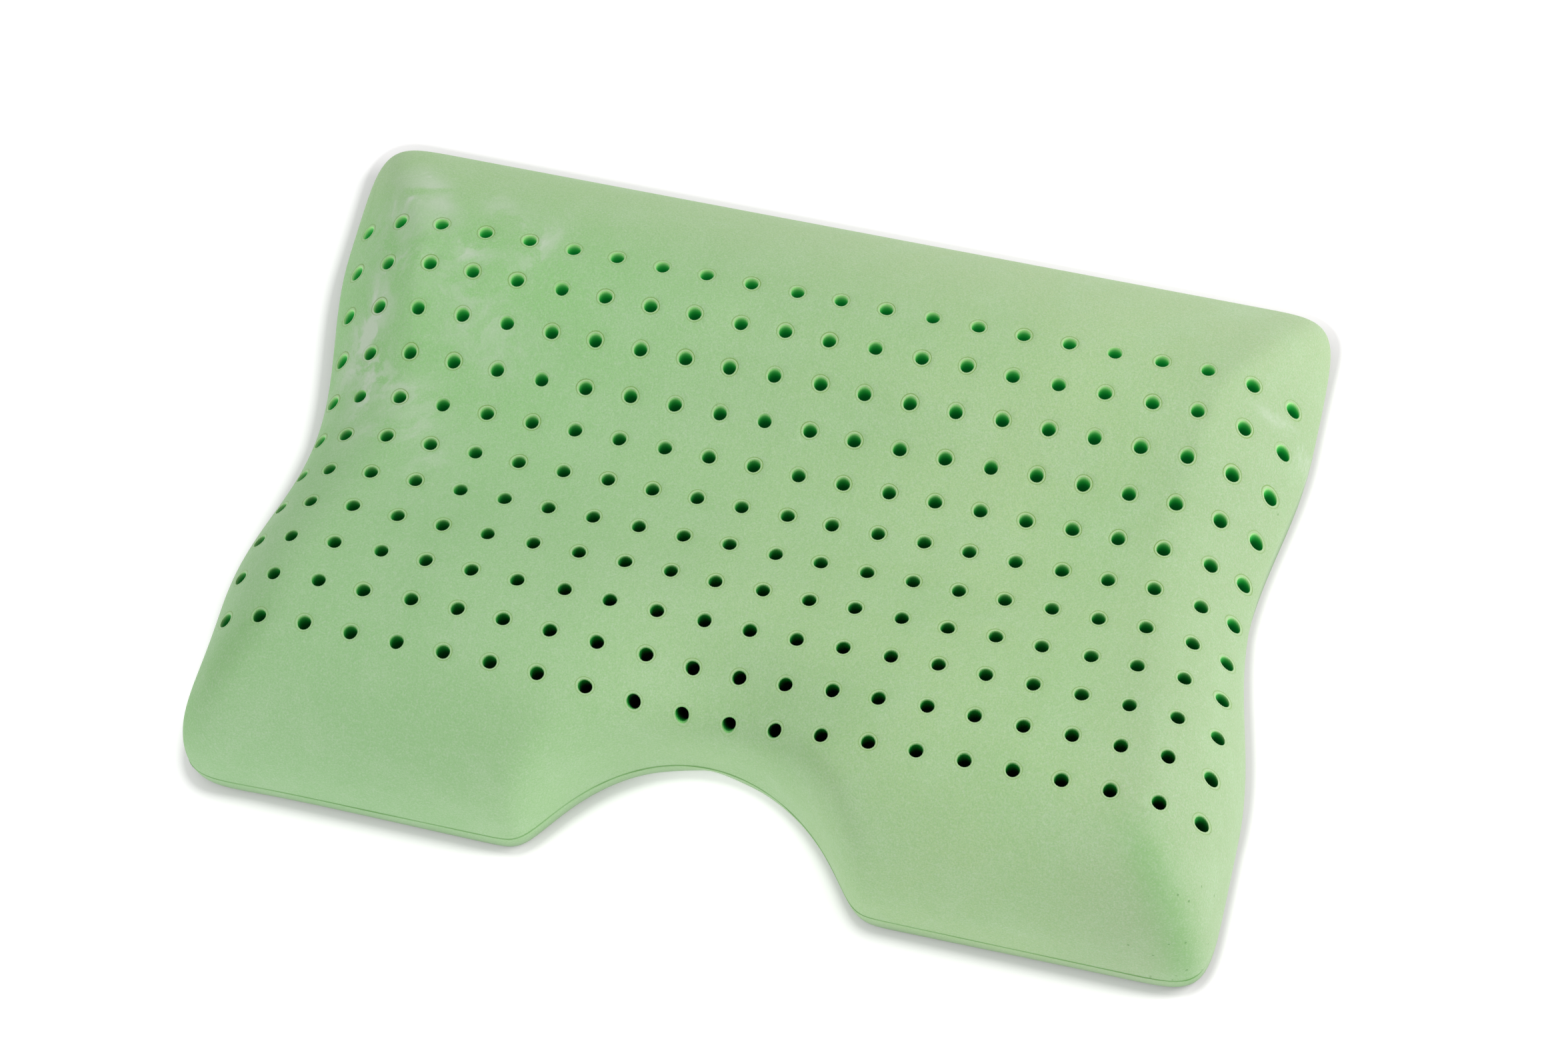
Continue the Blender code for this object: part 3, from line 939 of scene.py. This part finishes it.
class FoamEffects:
    """Node groups for what moulded latex shows: cloudy tone, pour swirls, pinholes and grain."""

    def __init__(self) -> None:
        """Build every group once."""
        self.clouds = self.make_clouds()
        self.swirls = self.make_swirls()
        self.pinholes = self.make_pinholes()
        self.grain = self.make_grain()

    @staticmethod
    def make_clouds() -> bpy.types.NodeTree:
        """Give soft blotches from 0 to 1: noise read at places that a coarser noise pushes about."""
        wiring, given, result = new_group("cloudy_tone", Scale=20.0, Warp=0.02, Low=0.35, High=0.65)
        noise, _ = wiring.pushed_noise(
            given["Vector"], 14.0, 2.0, given["Warp"],
            {"Scale": given["Scale"], "Detail": 5.0, "Roughness": 0.55})
        wiring.tree.links.new(wiring.span(noise, given["Low"], given["High"]), result)
        return wiring.tree

    @staticmethod
    def make_swirls() -> bpy.types.NodeTree:
        """Give pale marbled streaks: thin bands where a strongly warped noise crosses its middle."""
        wiring, given, result = new_group("pour_swirls", Zone=1.0, Scale=16.0, Width=0.10)
        noise, place = wiring.pushed_noise(
            given["Vector"], 11.0, 3.0, 0.11, {"Scale": given["Scale"], "Detail": 6.0, "Roughness": 0.62})
        off_middle = wiring.maths("ABSOLUTE", wiring.maths("SUBTRACT", noise, 0.53))
        bands = wiring.span(off_middle, given["Width"], 0.0)
        patch = wiring.put("TexNoise", {"Vector": place, "Scale": 38.0, "Detail": 4.0})
        broken = wiring.span(patch.outputs["Fac"], 0.38, 0.66)
        mottled = wiring.maths("ADD", wiring.times(bands, 0.60), wiring.times(broken, 0.50))
        wiring.tree.links.new(wiring.maths("MULTIPLY", mottled, given["Zone"], clamp=True), result)
        return wiring.tree

    @staticmethod
    def make_pinholes() -> bpy.types.NodeTree:
        """Give small round pits: the middles of a share of the cells of a Voronoi pattern."""
        wiring, given, result = new_group("pinholes", Scale=60.0, Radius=0.06, Share=0.1)
        cells = wiring.put("TexVoronoi", {"Vector": given["Vector"], "Scale": given["Scale"]})
        near = wiring.span(cells.outputs["Distance"], given["Radius"], 0.0)
        lot = wiring.put("SeparateColor", {0: cells.outputs["Color"]}).outputs[0]
        chosen = wiring.maths("LESS_THAN", lot, given["Share"])
        wiring.tree.links.new(wiring.times(near, chosen), result)
        return wiring.tree

    @staticmethod
    def make_grain() -> bpy.types.NodeTree:
        """Give the skin's grain as a height: fine pebbling over a softer orange peel."""
        wiring, given, result = new_group("skin_grain", Fine=900.0, Coarse=300.0)
        fine, coarse = (
            wiring.put("TexNoise", {"Vector": given["Vector"], "Scale": given[scale], "Detail": detail})
            for scale, detail in (("Fine", 2.0), ("Coarse", 3.0)))
        total = wiring.maths("ADD", fine.outputs["Fac"], wiring.times(coarse.outputs["Fac"], 1.6))
        wiring.tree.links.new(total, result)
        return wiring.tree


@dataclass(frozen=True)
class Tint:
    """A colour laid over the foam: how strongly, and where from and to."""

    colour: Colour
    strength: float = 1.0
    start: float = 0.0
    full: float = 1.0


@dataclass(frozen=True)
class CloudTint:
    """A colour laid over the foam in soft blotches: how fine, how much pushed about, and how spread."""

    colour: Colour
    strength: float
    scale: float
    warp: float
    low: float
    high: float


@dataclass(frozen=True)
class Pits:
    """Small pits in the skin: how many to a metre, their radius in cells, and the share of cells."""

    scale: float
    radius: float
    share: float


@dataclass(frozen=True)
class LatexFinish:
    """Pale green moulded latex foam with a dull, finely grained skin, painted glow and shade in its bores,
    and painted shade at its front folds and foot.
    """

    name: str = "latex_foam_skin"
    green: Colour = (0.294, 0.492, 0.245, 1.0)
    deeper: Colour = (0.210, 0.410, 0.165, 1.0)
    paler: Colour = (0.370, 0.520, 0.320, 1.0)
    bloom: Colour = (0.465, 0.555, 0.435, 1.0)
    # Yellower towards the right end, greener towards the left.
    yellower_to_right: Tint = Tint((0.342, 0.490, 0.247, 1.0), start=-0.22, full=0.16)
    broad: CloudTint = CloudTint(deeper, 0.30, 9.0, 0.05, 0.30, 0.70)
    right_end: Tint = Tint((0.320, 0.432, 0.245, 1.0), start=0.180, full=0.275)
    vivid: Tint = Tint((0.252, 0.505, 0.192, 1.0), 0.90, start=0.00, full=-0.20)
    vivid_y: tuple[float, float] = (-0.08, 0.10)
    rear_edge: Tint = Tint((0.385, 0.485, 0.280, 1.0), 0.55, start=0.110, full=0.200)
    # Painted shade beside the front corners' folds.
    fold_painted_shade_tint: Tint = Tint((0.215, 0.440, 0.155, 1.0), 0.70)
    mottling: tuple[CloudTint, ...] = (
        CloudTint(paler, 0.26, 34.0, 0.03, 0.42, 0.72),
        CloudTint(paler, 0.16, 210.0, 0.004, 0.40, 0.70),
        CloudTint(deeper, 0.42, 1150.0, 0.0, 0.40, 0.60),
        CloudTint(bloom, 0.24, 820.0, 0.0, 0.48, 0.66),
    )
    swirl_strength: float = 0.90
    swirl_scale: float = 17.0
    swirl_width: float = 0.065
    seam_line: Colour = (0.100, 0.280, 0.060, 1.0)
    # Tints by mark: a painted highlight on the hole lips, the dark flash rings, painted shade on the foot
    # and the dark seam line.
    marked: tuple[tuple[str, Tint], ...] = (
        ("painted_lip_highlight", Tint((0.385, 0.570, 0.275, 1.0), 0.45)),
        ("ring_mark", Tint((0.140, 0.275, 0.035, 1.0), 0.85)),
        ("foot", Tint((0.205, 0.315, 0.180, 1.0), 0.85)),
        ("seam_mark", Tint(seam_line, 0.85)),
    )
    scattered: Pits = Pits(46.0, 0.055, 0.09)
    gathered: Pits = Pits(150.0, 0.16, 0.75)
    pit_strength: float = 0.80
    pit_depth: float = 3.0
    # Painted light and shade in the bores: a brighter, more saturated green just inside the mouth for light
    # bounced in the bore, then darker green down to near black deep in it for the bore's shade.
    bore_top: Tint = Tint((0.250, 0.560, 0.195, 1.0), start=0.004, full=0.035)
    bore: Tint = Tint((0.002, 0.270, 0.024, 1.0), start=0.035, full=0.12)
    bore_depth: Tint = Tint((0.0005, 0.060, 0.010, 1.0), start=0.25, full=0.60)
    # Painted glow in the bores, by depth down each bore.
    glow: tuple[tuple[float, Colour], ...] = (
        (0.00, (0.0, 0.0, 0.0, 1.0)),
        (0.04, (0.110, 0.190, 0.070, 1.0)),
        (0.10, (0.110, 0.225, 0.085, 1.0)),
        (0.17, (0.038, 0.165, 0.042, 1.0)),
        (0.25, (0.008, 0.112, 0.017, 1.0)),
        (0.40, (0.001, 0.078, 0.010, 1.0)),
        (0.55, (0.0005, 0.062, 0.008, 1.0)),
        (1.00, (0.0003, 0.030, 0.004, 1.0)),
    )
    roughness: float = 0.72
    patch_polish: float = 0.08
    specular: float = 0.40
    grain_scales: tuple[float, float] = (760.0, 260.0)
    bump_strength: float = 0.50
    bump_distance: float = 0.45 * MM

    def skin_colour(self, wiring: Wiring, effects: FoamEffects, vector: Any) -> tuple[Any, Any]:
        """Lay the tints of the open skin over each other, from the broad ones to the fine ones.

        Args:
            wiring: the material's wiring.
            effects: the shared node groups.
            vector: the object coordinates.

        Returns:
            The colour, and the mask of the widest mottling.
        """

        def clouds(tint: CloudTint) -> Out:
            """Give the mask of one cloudy tint."""
            return wiring.group(effects.clouds, {
                "Vector": vector, "Scale": tint.scale, "Warp": tint.warp,
                "Low": tint.low, "High": tint.high})

        along = wiring.put("SeparateXYZ", {0: vector}).outputs
        layers = [(self.yellower_to_right, wiring.span(along["X"], self.yellower_to_right.start, self.yellower_to_right.full))]
        layers.append((self.broad, clouds(self.broad)))
        layers.append((self.right_end, wiring.span(along["X"], self.right_end.start, self.right_end.full)))
        to_left = wiring.span(along["X"], self.vivid.start, self.vivid.full)
        layers.append((self.vivid, wiring.times(to_left, wiring.span(along["Y"], *self.vivid_y))))
        layers.append((self.rear_edge, wiring.span(along["Y"], self.rear_edge.start, self.rear_edge.full)))
        layers.append((self.fold_painted_shade_tint, wiring.mark("painted_fold_shade")))
        masks = [clouds(tint) for tint in self.mottling]
        layers.extend(zip(self.mottling, masks))
        colour = self.green
        for tint, mask in layers:
            colour = wiring.blend(wiring.times(mask, tint.strength), colour, tint.colour)
        swirls = wiring.group(effects.swirls, {
            "Vector": vector, "Zone": wiring.mark("pour_zone"), "Scale": self.swirl_scale,
            "Width": self.swirl_width})
        colour = wiring.blend(wiring.times(swirls, self.swirl_strength), colour, self.bloom)
        for name, tint in self.marked:
            colour = wiring.blend(wiring.times(wiring.mark(name), tint.strength), colour, tint.colour)
        return colour, masks[0]

    def make(self, effects: FoamEffects) -> bpy.types.Material:
        """Build the material.

        Args:
            effects: the shared node groups.

        Returns:
            The material.
        """
        material = bpy.data.materials.new(self.name)
        material.use_nodes = True
        wiring = Wiring(material.node_tree)
        shader = material.node_tree.nodes["Principled BSDF"]
        join = material.node_tree.links.new
        vector = wiring.put("TexCoord").outputs["Object"]
        colour, patches = self.skin_colour(wiring, effects, vector)

        gathering = wiring.times(wiring.mark("pit_zone"), self.gathered.share)
        pits = [
            wiring.group(effects.pinholes, {
                "Vector": vector, "Scale": kind.scale, "Radius": kind.radius, "Share": share})
            for kind, share in ((self.scattered, self.scattered.share), (self.gathered, gathering))]
        pits = wiring.maths("MAXIMUM", *pits)
        # painted shade in the pits: they darken towards the seam line's colour
        colour = wiring.blend(wiring.times(pits, self.pit_strength), colour, self.seam_line)
        # painted light and shade down each bore, by depth
        bore = wiring.mark("bore")
        for tint, smooth in ((self.bore_top, False), (self.bore, False), (self.bore_depth, True)):
            colour = wiring.blend(wiring.span(bore, tint.start, tint.full, smooth), colour, tint.colour)
        join(colour, shader.inputs["Base Color"])

        rough = wiring.maths("ADD", wiring.times(patches, -self.patch_polish), self.roughness)
        join(rough, shader.inputs["Roughness"])
        shader.inputs["Metallic"].default_value = 0.0
        shader.inputs["Specular IOR Level"].default_value = self.specular
        # painted glow: the bores give off green light by depth, as strongly as the thin_foam mark says
        glow = {0: wiring.ramp(bore, self.glow), "Scale": wiring.mark("thin_foam")}
        glow = wiring.put("VectorMath", glow, operation="SCALE").outputs[0]
        join(glow, shader.inputs["Emission Color"])
        shader.inputs["Emission Strength"].default_value = 1.0
        material.cycles.emission_sampling = "NONE"

        fine, coarse = self.grain_scales
        grain = wiring.group(effects.grain, {"Vector": vector, "Fine": fine, "Coarse": coarse})
        dented = wiring.maths("SUBTRACT", grain, wiring.times(pits, self.pit_depth))
        bump = wiring.put(
            "Bump", {"Strength": self.bump_strength, "Distance": self.bump_distance, "Height": dented})
        join(bump.outputs["Normal"], shader.inputs["Normal"])
        return material


@dataclass(frozen=True)
class PaperFinish:
    """Pale floor, with a painted contact shadow and painted glow round the pillow."""

    name: str = "pale_floor"
    colour: Colour = (0.93, 0.92, 0.935, 1.0)
    shadowed: Colour = (0.56, 0.548, 0.563, 1.0)
    roughness: float = 0.9

    def make(self) -> bpy.types.Material:
        """Build the material, lit from within by painted glow and darkened into a painted contact shadow as
        far as the mesh's marks say.
        """
        material = bpy.data.materials.new(self.name)
        material.use_nodes = True
        shader = material.node_tree.nodes["Principled BSDF"]
        shader.inputs["Roughness"].default_value = self.roughness
        shader.inputs["Specular IOR Level"].default_value = 0.0
        shader.inputs["Emission Strength"].default_value = 1.0
        wiring = Wiring(material.node_tree)
        # painted contact shadow: the shadowed colour where the pillow rests, the pale colour out of it
        colour = wiring.blend(wiring.mark("out_of_painted_shadow"), self.shadowed, self.colour)
        material.node_tree.links.new(colour, shader.inputs["Base Color"])
        # painted glow: none where the pillow rests, more in the notch
        material.node_tree.links.new(wiring.mark("glow"), shader.inputs["Emission Color"])
        return material


@dataclass(frozen=True)
class SoftLight:
    """One large soft lamp: where it stands, what it points at, its size, power and tint."""

    name: str
    place: tuple[float, float, float]
    size: float
    power: float
    tint: tuple[float, float, float] = (1.0, 1.0, 1.0)

    def make(self, aim: Vector) -> None:
        """Hang the lamp and point it at the aim."""
        lamp = bpy.data.lights.new(self.name, "AREA")
        lamp.shape = "DISK"
        lamp.size = self.size
        lamp.energy = self.power
        lamp.color = self.tint
        hung = bpy.data.objects.new(self.name, lamp)
        hung.location = self.place
        hung.rotation_euler = (aim - hung.location).to_track_quat("-Z", "Y").to_euler()
        bpy.context.scene.collection.objects.link(hung)


@dataclass(frozen=True)
class Studio:
    """Floor, light and camera round the pillow."""

    camera_place: tuple[float, float, float] = (0.36089, -0.81551, 2.18953)
    camera_aim: tuple[float, float, float] = (0.00765, 0.00584, 0.050)
    camera_roll: float = -10.319
    lens: float = 92.035
    floor_radius: float = 6.0
    floor_samples: int = 1440
    # Painted contact shadow: each ring's distance out from the outline and how far out of the painted
    # shadow it is.
    floor_rings: tuple[tuple[float, float], ...] = (
        (-6.0 * MM, 0.0),
        (0.5 * MM, 0.10),
        (2.0 * MM, 0.32),
        (4.0 * MM, 0.60),
        (6.5 * MM, 0.83),
        (9.0 * MM, 0.93),
        (12.0 * MM, 0.97),
        (17.0 * MM, 1.0),
    )
    # How far the painted shadow reaches to the rear, right and left and in the notch, its darkest share,
    # the extra painted shade at the right end, the floor's glow and the painted light on the floor in the
    # notch.
    shadow_to_rear: float = 14.5 * MM
    shadow_to_right: float = 0.5 * MM
    shadow_to_left: float = 11.0 * MM
    ends_from_x: float = 0.20
    ends_reach: float = 0.05
    shadow_at_notch: float = -6.0 * MM
    least_open: float = 0.73
    right_shadow: float = 0.72
    floor_glow: float = 0.42
    notch_floor_glow: float = 0.35
    sky: tuple[float, float, float, float] = (1.0, 1.0, 1.0, 1.0)
    sky_strength: float = 0.745
    lights: tuple[SoftLight, ...] = (
        SoftLight("key_softbox", (1.20, 0.34, 1.20), 0.9, 16.0, (1.0, 0.97, 0.96)),
        SoftLight("fill_softbox", (-1.2, -1.0, 1.7), 1.5, 6.0, (1.0, 0.98, 0.98)),
        SoftLight("low_softbox", (-0.50, -2.1, 0.70), 1.2, 2.1, (1.0, 0.97, 1.0)),
    )

    def make_floor(self) -> bpy.types.Object:
        """Lay the floor, which isn't part of the object: rings round the pillow's outline, then open floor.

        Each ring has its own painted glow and painted contact shadow, from no glow and the deepest painted
        shadow where the pillow rests to the lit table a little way off.
        """
        form = PillowForm()
        outline = form.outline(self.floor_samples)[0][:-1]
        outward = outward_of(outline)
        at_ends = ease((np.abs(outline[:, 0]) - self.ends_from_x) / self.ends_reach)
        to_right = np.maximum(outward[:, 0], 0) * at_ends
        to_left = np.maximum(-outward[:, 0], 0) * at_ends
        # the painted shadow reaches further to the rear and at the ends, and less far in the notch
        reach = self.shadow_to_rear * np.maximum(outward[:, 1], 0)
        reach += self.shadow_to_right * to_right + self.shadow_to_left * to_left
        reach += self.shadow_at_notch * form.notch_nearness(outline[:, 0], outline[:, 1], form.notch_reach)
        rings = [outline + outward * (reach + away)[:, None] for away, _ in self.floor_rings]
        far = rings[-1] / np.linalg.norm(rings[-1], axis=1)[:, None] * self.floor_radius
        points = np.concatenate([*rings, far])
        points = np.column_stack([points, np.zeros(len(points))])
        count = len(outline)
        shares = [share for _, share in self.floor_rings]
        out_of_painted_shadow = np.repeat([*shares, shares[-1]], count)
        to_right = np.tile(to_right, len(rings) + 1)
        # painted contact shadow: darker and without glow near the outline, with extra painted shade at the
        # right end; painted light brightens the floor in the notch
        lit = self.least_open + (1 - self.least_open) * out_of_painted_shadow
        dimmed = 1 - self.right_shadow * to_right * (1 - out_of_painted_shadow)
        in_notch = form.notch_nearness(points[:, 0], points[:, 1], form.notch_reach)
        glow = self.floor_glow * out_of_painted_shadow * dimmed + self.notch_floor_glow * in_notch
        number = np.arange(len(points)).reshape(-1, count)
        ahead = np.roll(number, -1, axis=1)
        bands = np.stack([number[1:], ahead[1:], ahead[:-1], number[:-1]], axis=-1).reshape(-1, 4)
        mesh = bpy.data.meshes.new("pale_floor")
        mesh.from_pydata(points.tolist(), [], [number[0].tolist(), *bands.tolist()])
        for mark, values in (("out_of_painted_shadow", lit * dimmed), ("glow", glow)):
            mesh.attributes.new(mark, "FLOAT", "POINT").data.foreach_set("value", values.astype(np.float32))
        mesh.materials.append(PaperFinish().make())
        floor = bpy.data.objects.new("pale_floor", mesh)
        bpy.context.scene.collection.objects.link(floor)
        return floor

    def make_camera(self) -> bpy.types.Object:
        """Set the camera at the photograph's angle."""
        data = bpy.data.cameras.new("camera")
        data.sensor_fit = "HORIZONTAL"
        data.sensor_width = SENSOR_WIDTH
        data.lens = self.lens
        data.clip_start, data.clip_end = 0.05, 50.0
        camera = bpy.data.objects.new("camera", data)
        place, aim = Vector(self.camera_place), Vector(self.camera_aim)
        upright = (aim - place).to_track_quat("-Z", "Y").to_matrix().to_4x4()
        roll = Matrix.Rotation(math.radians(self.camera_roll), 4, "Z")
        camera.matrix_world = Matrix.Translation(place) @ upright @ roll
        bpy.context.scene.collection.objects.link(camera)
        bpy.context.scene.camera = camera
        return camera

    def make_sky(self) -> None:
        """Light the room evenly from all round."""
        world = bpy.data.worlds.new("studio_sky")
        world.use_nodes = True
        background = world.node_tree.nodes["Background"]
        background.inputs["Color"].default_value = self.sky
        background.inputs["Strength"].default_value = self.sky_strength
        bpy.context.scene.world = world

    def make(self) -> None:
        """Set up the whole studio."""
        self.make_floor()
        self.make_sky()
        aim = Vector(self.camera_aim)
        for light in self.lights:
            light.make(aim)
        self.make_camera()
        view = bpy.context.scene.view_settings
        view.view_transform = "Standard"
        view.look = "None"
        LOG.info("studio: floor, sky, %d lamps and the camera", len(self.lights))


def main() -> None:
    """Load the frame, build the pillow's skin round it, and set up the studio."""
    logging.basicConfig(level=logging.INFO, format="%(name)s: %(message)s")
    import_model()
    Studio().make()
    skin = FoamSkin().build(LatexFinish().make(FoamEffects()))
    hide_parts("foam_pillow")
    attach(skin, "root")
    LOG.info("%s: %d faces", skin.name, len(skin.data.polygons))


if __name__ == "__main__":
    main()
